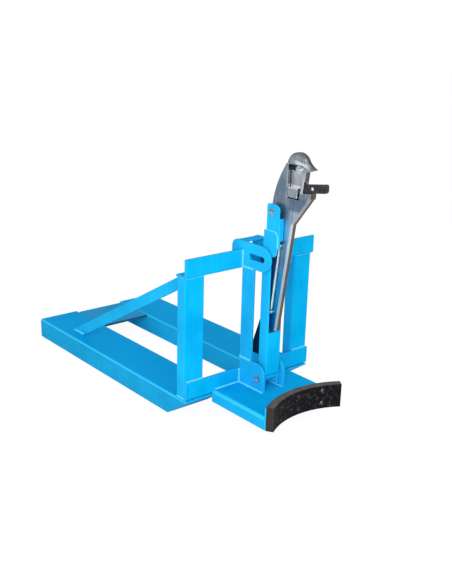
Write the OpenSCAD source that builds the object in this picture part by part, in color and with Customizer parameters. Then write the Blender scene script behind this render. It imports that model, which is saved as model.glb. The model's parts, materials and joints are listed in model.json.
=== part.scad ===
// Drum lifter that slides onto the two forks of a truck.
// A spring loaded beak on a tilting mast hooks the rim of an upright drum,
// and a rubber faced saddle steadies the drum's belly.
// X is the width, -Y the drum side, +Y the truck side, Z is up from the pockets' soles.
// Places along the depth are given from the lower beam's front face, plus rearwards.

/* [Fork pockets] */
// Outside width of one pocket
pocket_w = 175; // [140:1:220]
// Outside height of one pocket
pocket_h = 76; // [66:1:90]
// Plate thickness of the pockets
pocket_wall = 6; // [4:0.5:8]
// Length of a pocket along its top
pocket_len = 1000; // [800:5:1200]
// Clear width between the two pockets
pocket_gap = 215; // [190:1:300]
// Length of the slanting nose under each pocket
nose_len = 100; // [70:1:140]
// Outside bend radius of the pockets' long edges
pocket_bend = 7; // [6.5:0.5:9]

/* [Rear tie and brace] */
// Depth of the flat tie plate between the pockets
tie_d = 198; // [150:1:220]
// Thickness of the tie plate
tie_t = 10; // [6:0.5:14]
// Distance of the tie plate from the pockets' open ends
tie_back = 16; // [10:1:60]
// Height of the flat brace bar, across its length
brace_h = 38; // [30:1:45]
// Thickness of the brace bar
brace_t = 8; // [6:0.5:12]
// Distance of the brace's foot from the beam's front face, at its toe
brace_toe = 735; // [600:1:760]
// Distance of the brace's middle from the pocket's outer side
brace_set = 55.5; // [20:0.5:70]

/* [Upright frame] */
// Height of the two long angles' upright legs
angle_h = 65; // [55:1:75]
// Depth of the two long angles' flat legs
angle_d = 52; // [46:1:60]
// Thickness of the two long angles
angle_t = 8; // [6:0.5:8.5]
// Outside bend radius of the two long angles
angle_bend = 9; // [9:0.5:12]
// Wall of the posts
tube_wall = 4; // [3:0.5:6]
// Outside corner radius of the posts
tube_bend = 6; // [6:0.5:9]
// Width of a post
post_w = 80; // [60:1:100]
// Length of a post
post_len = 417; // [380:1:440]
// Overhang of the top angle past each post
angle_over = 3; // [0:0.5:15]

/* [Side plates] */
// Clear width between the left and right side plates
plate_gap = 82; // [78:1:100]
// Thickness of the side plates
plate_t = 8; // [6:0.5:10]
// Width of the upright flat bars
rib_w = 57; // [45:1:62]
// Height of the base brackets above the belly box
bracket_h = 97; // [85:1:110]
// Reach of the base brackets
bracket_reach = 124; // [118:1:140]
// Corner radius of the base brackets
bracket_r = 43; // [20:1:50]
// Radius of the slotted lugs' round ends
lug_r = 42.5; // [38:0.5:46]
// Length of a lug behind the beam's front face
lug_rear = 56; // [52:1:70]
// Radius of a lug's rear top corner
lug_corner = 25; // [10:1:27]
// Thickness of the plate across the lugs
lug_cover_t = 6; // [4:0.5:8]
// Travel of the stop pin in the lugs' slots
slot_travel = 56; // [40:1:60]

/* [Belly box and saddle] */
// Radius of the drum that the saddle fits
drum_r = 292; // [280:1:310]
// Distance from the beam's front face to the drum
belly_reach = 248; // [235:1:280]
// Half of the angle that the saddle covers
saddle_half = 32; // [26:0.5:36]
// Height of the saddle
saddle_h = 83; // [78:1:100]
// Height of the saddle's lower edge above the floor
saddle_low = 47; // [40:1:55]
// Thickness of the rubber pad
pad_t = 26; // [18:1:30]
// Thickness of the curved steel plate behind the pad
saddle_t = 6; // [4:0.5:10]
// Distance that the pad stands above the curved plate
plate_drop = 5; // [0:0.5:10]
// Angle that the pad reaches past the curved plate at each end
plate_set = 0.6; // [0:0.1:2]
// Height of the belly box
box_h = 42; // [36:1:46]
// Plate thickness of the belly box
box_wall = 6; // [4:0.5:8]
// Outside bend radius of the belly box
box_bend = 12; // [8:0.5:16]
// Angle between the columns of pad bolts
bolt_step = 19; // [12:0.5:22]
// Height between the two rows of pad bolts
bolt_rows = 44; // [40:1:48]
// Shank diameter of the pad bolts
pad_bolt_d = 8; // [6:1:10]
// Head diameter of the pad bolts
pad_bolt_head = 16; // [13:1:18]

/* [Mast] */
// Width of the mast tube
mast_w = 64; // [56:1:66]
// Depth of the mast tube
mast_d = 42; // [38:1:46]
// Wall of the mast tube
mast_wall = 5; // [4:0.5:6]
// Outside corner radius of the mast tube
mast_bend = 6; // [6:0.5:8]
// Distance of the mast's middle from the beam's front face
mast_out = 95; // [92:1:100]
// Height of the mast's pivot above the belly box
pivot_up = 43; // [40:1:48]
// Length of the mast tube above its pivot
mast_up = 489; // [470:1:500]
// Length of the mast tube below its pivot
mast_down = 28; // [26:1:34]
// Height of the front slot's lower end above the pivot
slot_low = 166; // [150:1:170]
// Height of the cut under the front wall
toe_cut = 44; // [36:1:60]
// Diameter of the mast's pivot bolt
pivot_d = 12; // [10:1:16]
// Outside diameter of the pivot bush
bush_d = 24; // [20:1:30]
// Diameter of the stop pin
stop_d = 16; // [12:1:20]
// Thickness of the two cheek plates at the mast's top
cheek_t = 4; // [3:0.5:5]
// Depth of the cheek plates
cheek_d = 62; // [50:1:66]
// Distance of the cheek plates' rear edge in front of the mast's back
cheek_set = 10; // [4:1:14]
// Height of the cheek plates
cheek_h = 84; // [76:1:92]
// Height of the cheek plates above the mast tube
cheek_up = 28; // [24:1:36]
// Thickness of the heel web behind the mast
heel_t = 10; // [6:1:14]
// Reach of the heel web behind the mast
heel_reach = 68; // [40:1:70]
// Height of the heel web's lower edge above the pivot
heel_low = 64; // [40:1:70]
// Height of the heel web's rear edge
heel_edge = 12; // [8:1:50]
// Height of the heel web above its lower edge
heel_h = 205; // [180:1:290]

/* [Clevis and spring] */
// Depth of the clevis tube
clevis_d = 60; // [54:1:62]
// Height of the clevis tube
clevis_h = 115; // [108:1:124]
// Setback of the clevis from the mast's rear face
clevis_set = 17; // [12:1:20]
// Height of the clevis's front lips
lip_h = 72; // [60:1:74]
// Clearance of the arm between the clevis's lips
lip_gap = 2; // [1.5:0.5:4]
// Diameter of the arm's pivot pin
arm_pin_d = 18; // [14:1:22]
// Distance of the arm's pin from the clevis's rear face
arm_pin_in = 23; // [22:1:30]
// Distance of the arm's pin from the clevis's top
arm_pin_below = 26; // [22:1:32]
// Outside diameter of the spring
spring_d = 10; // [8:0.5:11]
// Wire diameter of the spring
spring_wire = 1.8; // [1.4:0.1:2.2]
// Number of turns in the spring
spring_turns = 30; // [20:1:44]
// Diameter of the spring's two pegs
peg_d = 9; // [6:0.5:10]
// Distance of the upper peg below the clevis tube
peg_below = 18; // [12:0.5:22]
// Distance of the lower peg above the arm's tail
peg_low = 66; // [40:1:90]
// Distance of the lower peg behind the middle of the arm's tail
peg_back = 7; // [0:0.5:10]

/* [Beak arm] */
// Thickness of the arm
arm_t = 25; // [20:1:26]
// Width of the arm at its tail
tail_w = 42; // [34:1:46]
// Distance from the arm's pin down to the tail
tail_down = 403; // [380:1:405]
// Lean of the arm's front edge
arm_lean = 8.3; // [6:0.1:10]
// Front edge of the tail, forward of the mast's middle
tail_out = 37; // [32:1:42]
// Height of the drum rim's grip above the floor
grip_z = 850; // [830:1:870]
// Radius of the head's crown
crown_r = 49; // [44:1:54]
// Throat of the beak, behind the drum's surface
throat_in = 18; // [12:1:22]
// Lean of the throat and of the window's front edge
throat_lean = 8; // [4:0.5:10]
// Reach of the beak's tip past the throat
beak_reach = 38; // [30:1:46]
// Hollow of the beak's outer edge
beak_sag = 5; // [2:0.5:7]
// Reach of the chin past the throat
chin_reach = 27; // [20:1:34]
// Height of the mouth
mouth_h = 36; // [30:1:38]
// Width of the wall between the window and the throat
nib_w = 9; // [7:1:14]
// Width of the ground edges along the arm's front
arm_chamfer = 6; // [2:0.5:7]
// Width of the window in the head
window_w = 65; // [58:1:70]
// Height of the window
window_h = 108; // [100:1:114]
// Thickness of the plate behind the window
back_t = 5; // [3:0.5:8]
// Bulge of the head's back edge
head_bulge = 11; // [4:0.5:14]

/* [Lower jaw] */
// Height of the jaw bar
jaw_h = 27; // [24:1:30]
// Thickness of the jaw bar
jaw_t = 12; // [9:1:14]
// Reach of the jaw past the throat
jaw_reach = 86; // [70:1:92]
// Slope of the jaw
jaw_slope = 8.5; // [4:0.5:10]
// Thickness of the jaw's link
link_t = 8; // [6:1:12]
// Diameter of the jaw's pin
jaw_pin_d = 14; // [10:1:16]
// Radius of the link's eye
eye_r = 16; // [13:0.5:17]
// Diameter of the hole in the jaw bar
jaw_hole_d = 9; // [6:0.5:11]
// Distance of the jaw bar's hole from the throat
jaw_hole_out = 29; // [14:1:40]

/* [Fits] */
// Radial clearance of a pin that turns
run_gap = 0.05; // [0.03:0.01:0.1]
// Clearance of pieces that pass each other
pass_gap = 0.5; // [0.3:0.1:0.8]

/* [Hidden] */
$fn = 64;
eps = 0.01;
paint = "deepskyblue";
steel = "lightslategray";

// Small sizes of the frame and mast
lug_nose_set = 5;
pivot_tail = 4;
pad_tail = 2;
washer_t = 3;
washer_share = 1.9;
hex_share = 1.5;
hex_tall = 0.65;
pad_head_tall = 0.6;
pad_nut_tall = 0.8;
clevis_round = 26;
clevis_corner = 8;
peg_edge = 5.5;
peg_play = 1.5;
loop_stem = 6;

// Small sizes of the pins
pin_head_t = 3;
clip_t = 2.5;
pin_tail = 4;
arm_head_rim = 4;
arm_clip_rim = 4.5;
spacer_rim = 5;
jaw_head_rim = 3;
jaw_clip_rim = 7;

// Small sizes of the arm and jaw
arm_clear = 4;
boss_wall = 15;
neck_drop = 172;
chin_step = 4;
chin_fall = 14;
chin_lip = 2;
chin_gap = 1;
beak_rise = 0.32;
crown_in = 27;
crown_up = 8;
crown_turn = 45;
back_in = 1;
back_up = 6;
back_steps = 10;
window_up = 11;
window_r = 7;
back_rim = 6;
back_r = 10;
jaw_pin_down = 6;
jaw_end_r = 5;
jaw_room = 7;
jaw_side_room = 1;
root_in = 3;
root_drop = 2;
root_set = 1;
link_side = 2;
link_gap = 8.5;
link_back_gap = 3.5;
link_neck = 4;
carrier_up = 4;
carrier_drop = 17;
carrier_gap = 9;

// Widths
pocket_in = pocket_gap / 2;
pocket_out = pocket_in + pocket_w;
plate_in = plate_gap / 2;
plate_out = plate_in + plate_t;

// Depths, from the lower beam's front face
drum_y = -belly_reach - drum_r;
saddle_back_r = drum_r + pad_t + saddle_t;
box_half = saddle_back_r * sin(saddle_half) - saddle_t / 2;
mast_rear = -mast_out + mast_d / 2;
mast_front = -mast_out - mast_d / 2;
cheek_rear = mast_rear - cheek_set;
cheek_front = cheek_rear - cheek_d;
clevis_rear = mast_rear - clevis_set;
clevis_front = clevis_rear - clevis_d;
arm_pin_y = clevis_rear - arm_pin_in;
throat_y = -belly_reach + throat_in;
tail_front = -mast_out - tail_out;
jaw_tip_y = throat_y - jaw_reach;
tie_rear = pocket_len - tie_back;
y_shift = -(pocket_len + jaw_tip_y) / 2;

// Heights
post_low = pocket_h + angle_t;
post_top = post_low + post_len;
angle_top = post_top + angle_h;
box_top = saddle_low + box_h;
bracket_top = box_top + bracket_h;
pivot_z = box_top + pivot_up;
mast_top = pivot_z + mast_up;
lug_z = post_top + angle_t + lug_r;
lug_top = lug_z + lug_r;
clevis_top = mast_top + clevis_h;
arm_pin_z = clevis_top - arm_pin_below;
tail_z = arm_pin_z - tail_down;

// Mechanism
stop_r = stop_d / 2;
stop_y = -mast_out;
stop_arm = lug_z - pivot_z;
stop_sink = stop_arm - sqrt(stop_arm * stop_arm - slot_travel * slot_travel);
slot_r = stop_r + stop_sink / 2 + pass_gap;
slot_z = lug_z - stop_sink / 2;
slot_front = stop_y + pass_gap / 2;
slot_rear = stop_y + slot_travel - pass_gap / 2;
arm_half = arm_t / 2;
spring_room = 1;
wall_in = mast_w / 2 - mast_wall;
window_front = throat_y + nib_w;
crown_y = window_front + crown_in;
crown_z = grip_z + crown_up;
window_rear = window_front + window_w;
window_top = crown_z + window_up;
window_low = window_top - window_h;
jaw_pin_y = crown_y;
jaw_pin_z = crown_z - jaw_pin_down;
jaw_top_z = grip_z - mouth_h;
peg_x = arm_half + spring_d / 2 + spring_room;
upper_peg_y = clevis_front + peg_d / 2 + peg_edge;
upper_peg_z = mast_top - peg_below;
lower_peg_y = tail_front + tail_w / 2 + peg_back - peg_low * tan(arm_lean);
lower_peg_z = tail_z + peg_low;

// Draws an outline of depth and height as a plate that starts at x and is t thick
module across(x, t) {
  translate([x, y_shift, 0])
    rotate([90, 0, 90])
      linear_extrude(t)
        children();
}

// Draws an outline of width and height as a length from one depth to another
module along(y0, y1) {
  translate([0, y1 + y_shift, 0])
    rotate([90, 0, 0])
      linear_extrude(y1 - y0)
        children();
}

// Draws an outline of width and depth as an upright from one height to another
module upright(z0, z1) {
  translate([0, y_shift, z0])
    linear_extrude(z1 - z0)
      children();
}

// Draws the left of two twin plates, or the right one
module twin(side, inner, t) {
  across(side < 0 ? -inner - t : inner, t)
    children();
}

// A pin or bore along the width
module rod(x0, x1, y, z, d) {
  translate([x0, y + y_shift, z])
    rotate([0, 90, 0])
      cylinder(d = d, h = x1 - x0);
}

// A pipe along the width
module pipe(x0, x1, y, z, d, bore) {
  difference() {
    rod(x0, x1, y, z, d);
    rod(x0 - 1, x1 + 1, y, z, bore);
  }
}

// A hexagon along the width
module hex(x0, x1, y, z, flats) {
  translate([x0, y + y_shift, z])
    rotate([0, 90, 0])
      cylinder(d = flats / cos(30), h = x1 - x0, $fn = 6);
}

// A block between two corners in depth and height, as an outline
module block(y0, y1, z0, z1) {
  translate([y0, z0])
    square([y1 - y0, z1 - z0]);
}

// A block with rounded corners, as an outline
module soft_block(y0, y1, z0, z1, r) {
  block(y0 + r, y1 - r, z0, z1);
  block(y0, y1, z0 + r, z1 - r);
  for (y = [y0 + r, y1 - r], z = [z0 + r, z1 - r])
    translate([y, z])
      circle(r);
}

// A channel that is open below, with bent top edges
module channel_outline(x0, x1, low, top, bend) {
  block(x0, x1, low, top - bend);
  block(x0 + bend, x1 - bend, low, top);
  for (x = [x0 + bend, x1 - bend])
    translate([x, top - bend])
      circle(bend);
}

// A pocket: a bent box round the fork, with a slanting plate that closes the nose
module fork_pocket(side) {
  nose_h = pocket_h - pocket_wall;
  slant = pocket_wall / sin(atan2(nose_h, nose_len));
  x0 = side < 0 ? -pocket_out : pocket_in;
  x1 = x0 + pocket_w;
  color(paint)
    difference() {
      intersection() {
        along(0, pocket_len)
          channel_outline(x0, x1, 0, pocket_h, pocket_bend);
        twin(side, pocket_in - 1, pocket_w + 2)
          polygon([[nose_len, -1], [pocket_len + 1, -1], [pocket_len + 1, pocket_h + 1],
            [-1, pocket_h + 1], [-1, nose_h], [0, nose_h], [nose_len, 0]]);
      }
      intersection() {
        along(0, pocket_len + 1)
          block(x0 + pocket_wall, x1 - pocket_wall, pocket_wall, nose_h);
        twin(side, pocket_in - 1, pocket_w + 2)
          polygon([
            [nose_len + slant, 0],
            [pocket_len + 2, 0],
            [pocket_len + 2, pocket_h],
            [slant - pocket_wall * nose_len / nose_h, pocket_h]
          ]);
      }
    }
}

module left_fork_pocket() {
  fork_pocket(-1);
}

module right_fork_pocket() {
  fork_pocket(1);
}

// The flat plate that ties the pockets together near their open ends
module rear_tie_plate() {
  color(paint)
    across(-pocket_in, pocket_gap)
      block(tie_rear - tie_d, tie_rear, pocket_h - tie_t, pocket_h);
}

// A flat bar on edge from the left pocket up to the back of the left post and the angle on it
module left_brace() {
  head_z = post_top + angle_t;
  run = brace_toe - angle_d;
  lean = atan2(head_z - pocket_h, run);
  rise = brace_h / cos(lean);
  slope = (head_z - rise - pocket_h) / run;
  color(paint)
    across(-pocket_out + brace_set - brace_t / 2, brace_t)
      polygon([
        [angle_d, head_z - rise],
        [angle_d, head_z],
        [brace_toe + rise / slope, pocket_h],
        [brace_toe, pocket_h]
      ]);
}

// A bent angle: an upright leg in front and a flat leg behind
module angle_outline(low) {
  difference() {
    union() {
      block(angle_bend, angle_d, low, low + angle_h);
      block(0, angle_d, low + angle_bend, low + angle_h);
      translate([angle_bend, low + angle_bend])
        circle(angle_bend);
    }
    block(angle_t, angle_d + 1, low + angle_t, low + angle_h + 1);
  }
}

// The angle that stands on both pockets
module lower_beam() {
  color(paint)
    across(-pocket_out, 2 * pocket_out)
      angle_outline(pocket_h);
}

// A post of box tube, standing in the lower angle
module post(side) {
  x0 = side < 0 ? -pocket_out : pocket_out - post_w;
  x1 = x0 + post_w;
  color(paint)
    difference() {
      upright(post_low, post_top)
        soft_block(x0, x1, angle_t, angle_d, tube_bend);
      upright(post_low - 1, post_top + 1)
        soft_block(x0 + tube_wall, x1 - tube_wall, angle_t + tube_wall, angle_d - tube_wall,
          tube_bend - tube_wall);
    }
}

module left_post() {
  post(-1);
}

module right_post() {
  post(1);
}

// The steel angle across the tops of the posts
module top_angle() {
  color(paint)
    across(-pocket_out - angle_over, 2 * (pocket_out + angle_over))
      angle_outline(post_top);
}

// The stop pin's slot, with round ends
module stop_slot() {
  for (y = [slot_front, slot_rear])
    translate([y, slot_z])
      circle(slot_r);
  block(slot_front, slot_rear, slot_z - slot_r, slot_z + slot_r);
}

// A slotted lug, notched over the upright leg of the angle and welded to its flat leg
module lug(side) {
  low = lug_z - lug_r;
  nose = -mast_out + lug_nose_set;
  seat = post_top + angle_t;
  color(paint)
    twin(side, plate_in, plate_t)
      difference() {
        union() {
          translate([nose, lug_z])
            circle(lug_r);
          block(nose, 0, low, lug_top);
          block(-eps, lug_rear, seat, lug_top - lug_corner);
          block(-eps, lug_rear - lug_corner, seat, lug_top);
          translate([lug_rear - lug_corner, lug_top - lug_corner])
            circle(lug_corner);
        }
        block(0, angle_t, post_top, angle_top);
        stop_slot();
      }
}

module left_lug() {
  lug(-1);
}

module right_lug() {
  lug(1);
}

// The plate across the lugs, behind the mast
module lug_cover_plate() {
  color(paint)
    across(-plate_in, plate_gap)
      block(0, lug_rear - lug_corner, lug_top - lug_cover_t, lug_top);
}

// An upright flat bar between a base bracket and a lug
module rib(side) {
  color(paint)
    twin(side, plate_in, plate_t)
      block(-rib_w, 0, bracket_top, lug_z - lug_r);
}

module left_rib() {
  rib(-1);
}

module right_rib() {
  rib(1);
}

// A base bracket on the belly box, which carries the mast's pivot bolt
module base_bracket(side) {
  color(paint)
    difference() {
      twin(side, plate_in, plate_t)
        union() {
          block(-bracket_reach, 0, box_top, bracket_top - bracket_r);
          block(-bracket_reach + bracket_r, 0, box_top, bracket_top);
          translate([-bracket_reach + bracket_r, bracket_top - bracket_r])
            circle(bracket_r);
        }
      rod(-plate_out - 1, plate_out + 1, -mast_out, pivot_z, pivot_d + 2 * run_gap);
    }
}

module left_base_bracket() {
  base_bracket(-1);
}

module right_base_bracket() {
  base_bracket(1);
}

// The belly box: a bent channel whose front follows the saddle
module belly_box() {
  color(paint)
    difference() {
      along(drum_y, 0)
        channel_outline(-box_half, box_half, saddle_low, box_top, box_bend);
      along(drum_y - 1, 1)
        channel_outline(-box_half + box_wall, box_half - box_wall, saddle_low - 1, box_top - box_wall,
          box_bend - box_wall);
      translate([0, drum_y + y_shift, saddle_low - 2])
        cylinder(r = saddle_back_r, h = box_h + 4, $fn = 180);
    }
}

// A curved slab round the drum's axis, cut by the angle that it covers
module saddle_arc(r0, r1, half, h) {
  translate([0, drum_y + y_shift, saddle_low])
    rotate([0, 0, 90 - half])
      rotate_extrude(angle = 2 * half, $fn = 180)
        translate([r0, 0])
          square([r1 - r0, h]);
}

// Puts its children at each pad bolt, with Z pointing away from the drum
module pad_places() {
  for (col = [-1, 0, 1], row = [-1, 1])
    translate([0, drum_y + y_shift, saddle_low + saddle_h / 2 + row * bolt_rows / 2])
      rotate([0, 0, col * bolt_step])
        rotate([-90, 0, 0])
          children();
}

pad_sink = pad_t / 2;
head_h = pad_bolt_d * pad_head_tall;
nut_h = pad_bolt_d * pad_nut_tall;

module saddle_plate() {
  color(paint)
    difference() {
      saddle_arc(drum_r + pad_t, saddle_back_r, saddle_half - plate_set, saddle_h - plate_drop);
      pad_places()
        translate([0, 0, drum_r])
          cylinder(d = pad_bolt_d + 2 * run_gap, h = 2 * saddle_back_r);
    }
}

// The rubber pad, with stepped bores that sink the bolt heads
module saddle_pad() {
  color([0.1, 0.1, 0.11])
    difference() {
      saddle_arc(drum_r, drum_r + pad_t, saddle_half, saddle_h);
      pad_places() {
        translate([0, 0, drum_r - pad_t])
          cylinder(d = pad_bolt_d + 2 * run_gap, h = 3 * pad_t);
        translate([0, 0, drum_r - pad_t])
          cylinder(d = pad_bolt_head + 2 * pass_gap, h = pad_t + pad_sink);
      }
    }
}

// Round headed bolts sunk in the pad
module pad_bolts() {
  stem_end = saddle_back_r + nut_h + pad_tail;
  color("dimgray")
    pad_places() {
      translate([0, 0, drum_r + pad_sink - head_h])
        cylinder(d = pad_bolt_head, h = head_h);
      translate([0, 0, drum_r + pad_sink - eps])
        cylinder(d = pad_bolt_d, h = stem_end - drum_r - pad_sink + eps);
    }
}

// Hexagon nuts behind the saddle plate
module pad_nuts() {
  color("silver")
    pad_places()
      translate([0, 0, saddle_back_r + pass_gap / 2])
        difference() {
          cylinder(d = pad_bolt_d * washer_share, h = nut_h, $fn = 6);
          translate([0, 0, -1])
            cylinder(d = pad_bolt_d + 2 * run_gap, h = nut_h + 2);
        }
}

washer_d = pivot_d * washer_share;
hex_flats = pivot_d * hex_share;
hex_h = pivot_d * hex_tall;

// The bolt that the mast tilts on
module mast_pivot_bolt() {
  stem_end = plate_out + washer_t + hex_h + pivot_tail;
  color("silver") {
    hex(-plate_out - washer_t - hex_h, -plate_out - washer_t, -mast_out, pivot_z, hex_flats);
    rod(-plate_out - washer_t - eps, stem_end, -mast_out, pivot_z, pivot_d);
  }
}

module mast_pivot_nut() {
  color("silver")
    difference() {
      hex(plate_out + washer_t, plate_out + washer_t + hex_h, -mast_out, pivot_z, hex_flats);
      rod(plate_out, plate_out + washer_t + hex_h + 1, -mast_out, pivot_z, pivot_d + 2 * run_gap);
    }
}

module mast_pivot_washers() {
  color("silver")
    for (x = [-plate_out - washer_t, plate_out])
      pipe(x, x + washer_t, -mast_out, pivot_z, washer_d, pivot_d + 2 * run_gap);
}

// The mast: a box tube with a long slot in its front wall for the arm
module mast_tube() {
  low = pivot_z - mast_down;
  color(paint)
    difference() {
      upright(low, mast_top)
        soft_block(-mast_w / 2, mast_w / 2, mast_front, mast_rear, mast_bend);
      upright(low - 1, mast_top + 1)
        soft_block(-wall_in, wall_in, mast_front + mast_wall, mast_rear - mast_wall, mast_bend - mast_wall);
      across(-wall_in, 2 * wall_in)
        block(mast_front - 1, mast_front + mast_wall + 1, pivot_z + slot_low, mast_top + 1);
      across(-mast_w / 2 - 1, mast_w + 2)
        block(mast_front - 1, mast_front + mast_wall, low - 1, low + toe_cut);
      rod(-mast_w, mast_w, -mast_out, pivot_z, bush_d + 2 * run_gap);
      rod(-mast_w, mast_w, stop_y, lug_z, stop_d + 2 * run_gap);
    }
}

// A plate on each side of the mast's top, which holds the clevis tube
module mast_cheek(side) {
  top = mast_top + cheek_up;
  low = top - cheek_h;
  round_r = cheek_d / 3;
  color(paint)
    difference() {
      twin(side, mast_w / 2, cheek_t)
        union() {
          block(cheek_front + round_r, cheek_rear, low, top);
          block(cheek_front, cheek_rear, low + round_r, top - round_r);
          for (z = [low + round_r, top - round_r])
            translate([cheek_front + round_r, z])
              circle(round_r);
        }
      rod(-mast_w, mast_w, stop_y, lug_z, stop_d + 2 * run_gap);
    }
}

module left_mast_cheek() {
  mast_cheek(-1);
}

module right_mast_cheek() {
  mast_cheek(1);
}

// A triangular web that stiffens the mast's lower back
module mast_heel_web() {
  low = pivot_z + heel_low;
  color([0.1, 0.14, 0.2])
    across(-heel_t / 2, heel_t)
      polygon([
        [mast_rear, low],
        [mast_rear + heel_reach, low],
        [mast_rear + heel_reach, low + heel_edge],
        [mast_rear, low + heel_h]
      ]);
}

// The bush through the mast, which turns on the pivot bolt between the base brackets
module mast_pivot_bush() {
  end = plate_in - pass_gap;
  color("silver")
    pipe(-end, end, -mast_out, pivot_z, bush_d, pivot_d + 2 * run_gap);
}

// The stub pins that run in the lugs' slots, one on each side of the mast
module stop_pins() {
  end = plate_out - 1;
  color(paint)
    for (x = [-end, wall_in])
      rod(x, x + end - wall_in, stop_y, lug_z, stop_d);
}

// The clevis: a box tube with an open front, round on top, that carries the arm's pin
module clevis_tube() {
  tongue_low = upper_peg_z - peg_d / 2 - peg_edge;
  color(paint) {
    across(-mast_w / 2, mast_wall)
      block(clevis_front, upper_peg_y + peg_d / 2 + peg_edge, tongue_low, mast_top + 1);
    difference() {
      across(-mast_w / 2, mast_w)
        union() {
          block(clevis_front, clevis_rear, mast_top, clevis_top - clevis_round);
          block(clevis_front + clevis_round, clevis_rear, mast_top, clevis_top - clevis_corner);
          block(clevis_front + clevis_round, clevis_rear - clevis_corner, mast_top, clevis_top);
          translate([clevis_front + clevis_round, clevis_top - clevis_round])
            circle(clevis_round);
          translate([clevis_rear - clevis_corner, clevis_top - clevis_corner])
            circle(clevis_corner);
        }
      across(-wall_in, 2 * wall_in)
        block(clevis_front + mast_wall, clevis_rear - mast_wall, mast_top - 1, clevis_top + 1);
      across(-arm_half - lip_gap, arm_t + 2 * lip_gap)
        block(clevis_front - 1, clevis_front + mast_wall + 1, mast_top - 1, clevis_top + 1);
      across(-mast_w, 2 * mast_w)
        block(clevis_front - 1, clevis_front + mast_wall, mast_top + lip_h, clevis_top + 1);
      across(-wall_in, 2 * wall_in)
        block(clevis_rear - mast_wall - 1, clevis_rear + 1, arm_pin_z - arm_pin_d, clevis_top + 1);
      rod(-mast_w, mast_w, arm_pin_y, arm_pin_z, arm_pin_d + 2 * run_gap);
    }
  }
}

// The headed pin that the arm swings on
module arm_pin() {
  end = mast_w / 2;
  color("silver") {
    rod(-end - pin_head_t, -end, arm_pin_y, arm_pin_z, arm_pin_d + 2 * arm_head_rim);
    rod(-end - eps, end + clip_t + pin_tail, arm_pin_y, arm_pin_z, arm_pin_d);
  }
}

module arm_pin_clip() {
  x = mast_w / 2 + pass_gap / 2;
  color("silver")
    pipe(x, x + clip_t, arm_pin_y, arm_pin_z, arm_pin_d + 2 * arm_clip_rim, arm_pin_d + 2 * run_gap);
}

// Spacers that keep the arm in the middle of the clevis
module arm_spacers() {
  color("silver")
    for (side = [-1, 1])
      pipe(
        side < 0 ? -wall_in : arm_half + pass_gap,
        side < 0 ? -arm_half - pass_gap : wall_in,
        arm_pin_y, arm_pin_z, arm_pin_d + 2 * spacer_rim, arm_pin_d + 2 * run_gap);
}

// The peg inside the clevis that holds the spring's upper loop
module upper_spring_peg() {
  color("silver")
    rod(-wall_in, -arm_half - peg_play, upper_peg_y, upper_peg_z, peg_d);
}

// The peg on the arm that holds the spring's lower loop
module lower_spring_peg() {
  color("silver")
    rod(-wall_in + peg_play, -arm_half, lower_peg_y, lower_peg_z, peg_d);
}

// A tube swept along a list of points, with a closed end on each side
function ring_frame(p, i) =
  let (a = p[max(i - 1, 0)], b = p[min(i + 1, len(p) - 1)], t = (b - a) / norm(b - a),
    s = cross(t, [1, 0.01, 0.02]), u = s / norm(s))
  [u, cross(t, u)];

module swept_wire(p, d, sides) {
  rings = len(p);
  points = [for (i = [0 : rings - 1], k = [0 : sides - 1])
    let (f = ring_frame(p, i), a = 360 * k / sides)
    p[i] + d / 2 * (cos(a) * f[0] + sin(a) * f[1])];
  walls = [for (i = [0 : rings - 2], k = [0 : sides - 1], half = [0, 1])
    let (n = (k + 1) % sides, a = i * sides, b = a + sides)
    half == 0 ? [a + k, a + n, b + n] : [a + k, b + n, b + k]];
  last = (rings - 1) * sides;
  ends = [for (k = [1 : sides - 2], far = [0, 1])
    far == 0 ? [0, k + 1, k] : [last, last + k, last + k + 1]];
  polyhedron(points, concat(walls, ends));
}

// The extension spring: a loop round each peg and a close helix between them
loop_r = peg_d / 2 + spring_wire / 2 + pass_gap / 2;
coil_r = (spring_d - spring_wire) / 2;
coil_steps = 8;
spring_top = [-peg_x, upper_peg_y, upper_peg_z];
spring_end = [-peg_x, lower_peg_y, lower_peg_z];
spring_run = spring_end - spring_top;
spring_dir = spring_run / norm(spring_run);
spring_side = cross(spring_dir, [1, 0, 0]);
coil_start = loop_r + loop_stem;
coil_len = norm(spring_run) - 2 * coil_start;

function loop_point(centre, a, turn) =
  centre + loop_r * (cos(a) * turn * spring_dir + sin(a) * spring_side);

function coil_point(i) =
  let (a = 360 * i / coil_steps, along = coil_start + coil_len * i / (spring_turns * coil_steps))
  spring_top + along * spring_dir + coil_r * (cos(a) * spring_side + sin(a) * [1, 0, 0]);

module return_spring() {
  upper = [for (a = [-20 : -24 : -330]) loop_point(spring_top, a, 1)];
  coil = [for (i = [0 : spring_turns * coil_steps]) coil_point(i)];
  lower = [for (a = [330 : -24 : 20]) loop_point(spring_end, a, -1)];
  color("gainsboro")
    translate([0, y_shift, 0])
      swept_wire(concat(upper, coil, lower), spring_wire, 5);
}

// The arm's outline: a leaning bar, a boss round the pin, and a head that ends in the beak
jaw_low_z = jaw_top_z - jaw_h / cos(jaw_slope);
head_top = [throat_y, grip_z];
front_low = [tail_front, tail_z];
neck_z = grip_z - neck_drop;
neck = [tail_front - (neck_z - tail_z) * tan(arm_lean), neck_z];
tip = [throat_y - beak_reach, grip_z + beak_reach * beak_rise];
chin = [throat_y - chin_reach, jaw_top_z - jaw_h - chin_step - chin_fall];
chin_y = chin[0] - chin_lip;
crown_edge = [crown_y - crown_r * cos(crown_turn), crown_z + crown_r * sin(crown_turn)];
boss_r = arm_pin_d / 2 + boss_wall;
nape = [arm_pin_y + boss_r, arm_pin_z];
back_edge = [crown_y + crown_r - back_in, crown_z + back_up];
beak_way = (tip - crown_edge) / norm(tip - crown_edge);
hollow_r = (pow(norm(tip - crown_edge) / 2, 2) + beak_sag * beak_sag) / (2 * beak_sag);
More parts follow.
